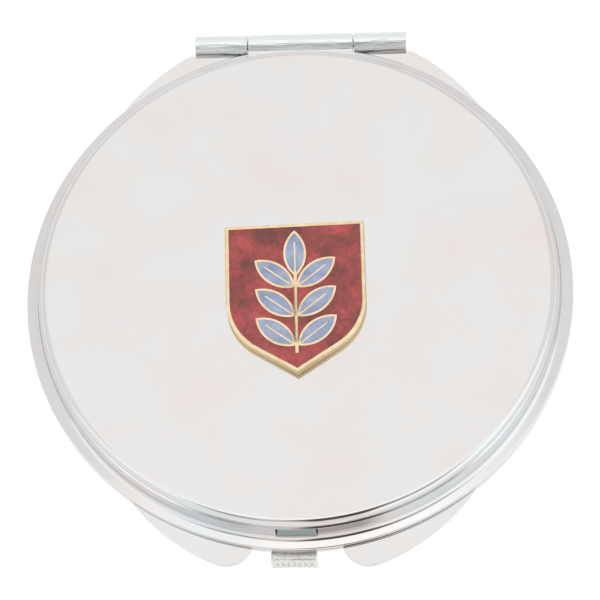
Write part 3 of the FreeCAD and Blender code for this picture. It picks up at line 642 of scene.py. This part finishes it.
def gilt_brass():
    """Gold wash over brass: pale warm metal, worn lighter in patches, a little uneven from the casting, and
    duller on the sides, which also carry a painted highlight: a paler gold that stands in for the bright
    flat they reflect."""
    material, tree, shader = new_material("gilt_brass")
    wear_size, grain_size, grain_depth = 1.2 * MM, 0.25 * MM, 0.02 * MM
    place = add(tree, "ShaderNodeTexCoord").outputs["Object"]
    wear = add(tree, "ShaderNodeTexNoise", {"Vector": place, "Scale": 1 / wear_size, "Detail": 4.0})
    tone = add(tree, "ShaderNodeValToRGB", {"Fac": wear.outputs["Fac"]},
               [(0.35, "#EFD3A2"), (0.7, "#F8E9CF")])
    rough = add(tree, "ShaderNodeMapRange", {"Value": wear.outputs["Fac"], "To Min": 0.3, "To Max": 0.46})
    level = add(tree, "ShaderNodeSeparateXYZ", {"Vector": place}).outputs["Z"]
    # Painted highlight: below the rounded top edge the sides are blended to a paler gold for their
    # reflection of the lid's flat, and made rougher.
    painted_side_highlight = add(tree, "ShaderNodeMapRange", {
        "Value": level, "From Min": badge_high.z - BORDER_ROUND,
        "From Max": badge_high.z - SIDE_HIGHLIGHT_DEPTH}).outputs["Result"]
    dull = add(tree, "ShaderNodeMath", {0: painted_side_highlight, 1: 0.25, 2: rough.outputs["Result"]},
               operation="MULTIPLY_ADD")
    paler = add(tree, "ShaderNodeMix", {"Factor": painted_side_highlight, "A": tone.outputs["Color"],
                                        "B": linear("#F9E3B8")}, data_type="RGBA")
    grain = add(tree, "ShaderNodeTexNoise", {"Vector": place, "Scale": 1 / grain_size, "Detail": 2.0})
    bump = add(tree, "ShaderNodeBump", {"Height": grain.outputs["Fac"], "Strength": 0.6,
                                        "Distance": grain_depth})
    tree.links.new(paler.outputs["Result"], shader.inputs["Base Color"])
    tree.links.new(dull.outputs[0], shader.inputs["Roughness"])
    tree.links.new(bump.outputs["Normal"], shader.inputs["Normal"])
    shader.inputs["Metallic"].default_value = 1.0
    return material


badge_gilt = cad_copy("badge_gilt", "badge_plate", gilt_brass())
casting = whole_faces(badge_gilt)
side_faces = {f for f in casting.faces if abs(f.normal.z) < UPRIGHT
              and min(v.co.z for v in f.verts) < badge_low.z + FOOT_HEIGHT}
top_edges = [e for e in casting.edges if min(v.co.z for v in e.verts) > badge_high.z - TOP_TOLERANCE
             and any(f in side_faces for f in e.link_faces)]
bmesh.ops.bevel(casting, geom=top_edges, offset=BORDER_ROUND, segments=BORDER_STEPS, profile=0.5,
                affect="EDGES", clamp_overlap=True)
casting.to_mesh(badge_gilt.data)
casting.free()
soften(badge_gilt)
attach(badge_gilt, "lid")
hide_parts("badge_plate")

# Enamel: coloured glass, fired in the badge's cells and ground down to just below the metal, dark red for
# the field and pale blue for the leaves.
ENAMEL_SINK = 0.05 * MM


def enamel(name, dark, middle, light, blotch_size, mottle_size):
    """Fired glass enamel, ground flat: glossy, clouded in blotches with a fine mottle through it."""
    material, tree, shader = new_material(name)
    pit_depth = 0.01 * MM
    place = add(tree, "ShaderNodeTexCoord").outputs["Object"]
    blotches = add(tree, "ShaderNodeTexNoise", {"Vector": place, "Scale": 1 / blotch_size, "Detail": 2.0})
    mottle = add(tree, "ShaderNodeTexNoise", {"Vector": place, "Scale": 1 / mottle_size, "Detail": 3.0,
                                              "Roughness": 0.7})
    cloud = add(tree, "ShaderNodeMix", {"Factor": 0.35, "A": blotches.outputs["Fac"],
                                        "B": mottle.outputs["Fac"]})
    tone = add(tree, "ShaderNodeValToRGB", {"Fac": cloud.outputs["Result"]},
               [(0.36, dark), (0.5, middle), (0.64, light)])
    bump = add(tree, "ShaderNodeBump", {"Height": mottle.outputs["Fac"], "Strength": 0.35,
                                        "Distance": pit_depth})
    tree.links.new(tone.outputs["Color"], shader.inputs["Base Color"])
    tree.links.new(bump.outputs["Normal"], shader.inputs["Normal"])
    shader.inputs["Roughness"].default_value = 0.22
    return material


RED = enamel("dark_red_enamel", "#6F3B34", "#984440", "#C15050", 2.8 * MM, 0.5 * MM)
BLUE = enamel("pale_blue_enamel", "#8D9ABD", "#9DAAC9", "#B0BBD3", 2.0 * MM, 0.6 * MM)
for name, node, finish, slot in (("red_field", "badge_red_enamel", RED, "red_enamel"),
                                 ("blue_leaves", "badge_blue_enamel", BLUE, "blue_enamel")):
    piece = cad_copy(name, node, finish)
    cell_floor, cell_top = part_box(node)[0].z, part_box(node)[1].z
    for vertex in piece.data.vertices:
        vertex.co.z -= ENAMEL_SINK * (vertex.co.z - cell_floor) / (cell_top - cell_floor)
    soften(piece)
    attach(piece, "lid")
    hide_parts(node)

# Studio: a white acrylic table, lit a little from below, inside a pale tent with a darker strip in front
# that draws dark lines on the chrome.  The camera stands where the photograph was taken.
TABLE_HALF = 500 * MM
CAMERA_AZIMUTH = math.radians(8.78)
CAMERA_HEIGHT = math.radians(65.97)
CAMERA_ROLL = math.radians(-9.19)
CAMERA_DISTANCE = 450 * MM
CAMERA_LENS = 212.5
CAMERA_AIM = (0.34 * MM, -2.49 * MM)
CAMERA_NEAREST = 10 * MM
TENT_STRENGTH = 1.4


def lit_acrylic():
    """White acrylic table: soft white with a faint cloud."""
    material, tree, shader = new_material("white_acrylic")
    cloud_size = 60 * MM
    place = add(tree, "ShaderNodeTexCoord").outputs["Object"]
    clouds = add(tree, "ShaderNodeTexNoise", {"Vector": place, "Scale": 1 / cloud_size})
    tone = add(tree, "ShaderNodeValToRGB", {"Fac": clouds.outputs["Fac"]}, [(0, "#585858"), (1, "#5E5E5E")])
    tree.links.new(tone.outputs["Color"], shader.inputs["Base Color"])
    shader.inputs["Roughness"].default_value = 0.9
    shader.inputs["Specular IOR Level"].default_value = 0.0
    shader.inputs["Emission Color"].default_value = (1.0, 1.0, 1.0, 1.0)
    shader.inputs["Emission Strength"].default_value = 0.96
    return material


table_mesh = bpy.data.meshes.new("table")
table_corners = [(TABLE_HALF * x, TABLE_HALF * y, 0) for x, y in ((-1, -1), (1, -1), (1, 1), (-1, 1))]
table_mesh.from_pydata(table_corners, [], [(0, 1, 2, 3)])
table = new_piece("table", table_mesh)
coat(table, lit_acrylic())

near = Vector((math.sin(CAMERA_AZIMUTH), -math.cos(CAMERA_AZIMUTH), 0))
across = Vector((math.cos(CAMERA_AZIMUTH), math.sin(CAMERA_AZIMUTH), 0))
backwards = near * math.cos(CAMERA_HEIGHT) + Vector((0, 0, math.sin(CAMERA_HEIGHT)))
upward = backwards.cross(across)
right = across * math.cos(CAMERA_ROLL) + upward * math.sin(CAMERA_ROLL)
top = upward * math.cos(CAMERA_ROLL) - across * math.sin(CAMERA_ROLL)
lid_middle = Vector((0, 0, LID_TOP))
stand = lid_middle + backwards * CAMERA_DISTANCE
looking = (stand - lid_middle - right * CAMERA_AIM[0] - top * CAMERA_AIM[1]).normalized()
top = (top - looking * top.dot(looking)).normalized()
facing = Matrix((top.cross(looking), top, looking)).transposed().to_4x4()
camera = bpy.data.objects.new("camera", bpy.data.cameras.new("camera"))
camera.data.lens = CAMERA_LENS
camera.data.clip_start = CAMERA_NEAREST
camera.matrix_world = Matrix.Translation(stand) @ facing
bpy.context.scene.collection.objects.link(camera)
bpy.context.scene.camera = camera
bpy.context.scene.view_settings.view_transform = "Standard"

world = bpy.data.worlds.new("tent")
world.use_nodes = True
bpy.context.scene.world = world
tent = world.node_tree
ray = add(tent, "ShaderNodeTexCoord").outputs["Generated"]
rise_part = add(tent, "ShaderNodeSeparateXYZ", {"Vector": ray}).outputs["Z"]
near_part = add(tent, "ShaderNodeVectorMath", {0: ray, 1: near}, operation="DOT_PRODUCT").outputs["Value"]
side_part = add(tent, "ShaderNodeVectorMath", {0: ray, 1: across}, operation="DOT_PRODUCT").outputs["Value"]
over = add(tent, "ShaderNodeMath", {0: rise_part, 1: near_part}, operation="ARCTAN2").outputs[0]
share = add(tent, "ShaderNodeMath", {0: over, 1: math.pi}, operation="DIVIDE").outputs[0]


def band(stops):
    """Brightness of the tent from the near horizon, over the top, to the far one, by angle in degrees."""
    shares = [(angle / 180, code) for angle, code in stops]
    return add(tent, "ShaderNodeValToRGB", {"Fac": share}, shares).outputs["Color"]


def between(start, end):
    """Share that rises smoothly from none to all as the ray goes from one side to the other."""
    return add(tent, "ShaderNodeMapRange", {"Value": side_part, "From Min": start, "From Max": end},
               interpolation_type="SMOOTHSTEP").outputs["Result"]


above = [(109, "#E8E7E6"), (119, "#E6E4E3"), (127, "#D9D8D8"), (165, "#D4D4D4"), (180, "#D2D2D3")]
aside = [(102, "#D7D7D6"), (120, "#D5D5D4"), (135, "#D2D2D2"), (180, "#CDCDCE")]
left_wall = [(0, "#C8C8CA"), (20, "#D9DEE2"), (52, "#DBDEE1"), (62, "#F0F2F2"), (80, "#EEEEEE"),
             (95, "#D9D9D8")] + aside
near_left = [(0, "#BDBBB9"), (10, "#E4E2E0"), (40, "#E2E2E4"), (50, "#9C9A98"), (73, "#9C9A98"),
             (83, "#EEEEEF"), (95, "#E9E9E9")] + aside
soft_left = [(0, "#BDBBB9"), (10, "#E4E2E0"), (40, "#E2E2E4"), (50, "#BEBCBA"), (73, "#BEBCBA"),
             (83, "#EEEEEF"), (100, "#ECECEC")] + above
dark_strip = [(0, "#BDBBB9"), (14, "#E0DEDC"), (34, "#D0CECC"), (44, "#504B48"), (76, "#45403E"),
              (86, "#F0EFEE"), (92, "#FAFAFA"), (100, "#F8F8F8")] + above
near_right = [(0, "#C4C2C0"), (10, "#F2F1F0"), (42, "#F4F4F4"), (52, "#ABA9A7"), (73, "#ABA9A7"),
              (83, "#F2F2F3"), (94, "#EEEEEE")] + aside
right_wall = [(0, "#D4D4D4"), (15, "#EEF7FA"), (70, "#F4F9FA"), (84, "#E6E6E6"), (95, "#D9D9D8")] + aside
walls = band(left_wall)
for start, end, stops in ((-0.54, -0.38, near_left), (-0.34, -0.24, soft_left), (-0.17, -0.07, dark_strip),
                          (0.1, 0.24, near_right), (0.38, 0.52, right_wall)):
    walls = add(tent, "ShaderNodeMix", {"Factor": between(start, end), "A": walls, "B": band(stops)},
                data_type="RGBA").outputs["Result"]
glow = tent.nodes["Background"]
tent.links.new(walls, glow.inputs["Color"])
glow.inputs["Strength"].default_value = TENT_STRENGTH
